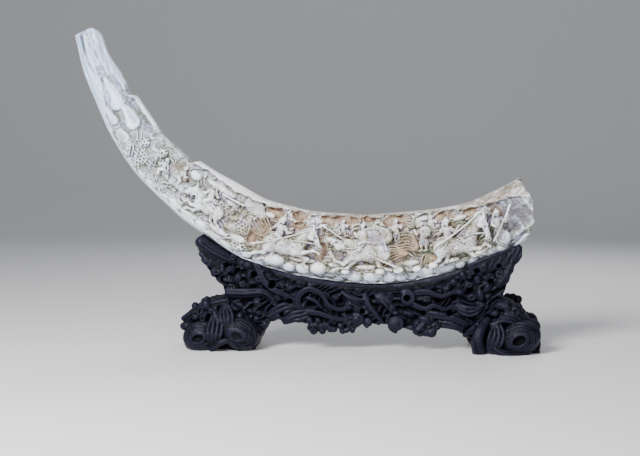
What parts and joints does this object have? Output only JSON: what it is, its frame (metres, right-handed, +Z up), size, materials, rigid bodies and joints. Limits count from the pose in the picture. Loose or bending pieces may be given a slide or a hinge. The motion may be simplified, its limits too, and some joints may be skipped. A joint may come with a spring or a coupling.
{
  "type": "carved mammoth tusk",
  "caption": "Broken length of fossil mammoth tusk, carved along its front with mounted warriors, trees and boulders, resting in a dark carved wooden stand with a foot under each end.",
  "frame": {"origin": "middle of the bounding box, on the surface that the feet stand on", "axes": "+X from the tusk's tip towards its hollow butt, along the object's length; +Z up; the carved front faces -Y"},
  "size_m": [0.9511, 0.1893, 0.643],
  "materials": {
    "fossil_ivory": "pale grey-white fossil ivory, polished on the high points, stained tan and brown in the deep cuts",
    "dark_wood": "blackish violet-brown stained hardwood with a soft waxed sheen"
  },
  "bodies": {
    "root": {"tusk": "fossil_ivory", "stand_bridge": "dark_wood", "stand_foot_left": "dark_wood", "stand_foot_right": "dark_wood"}
  },
  "joints": []
}
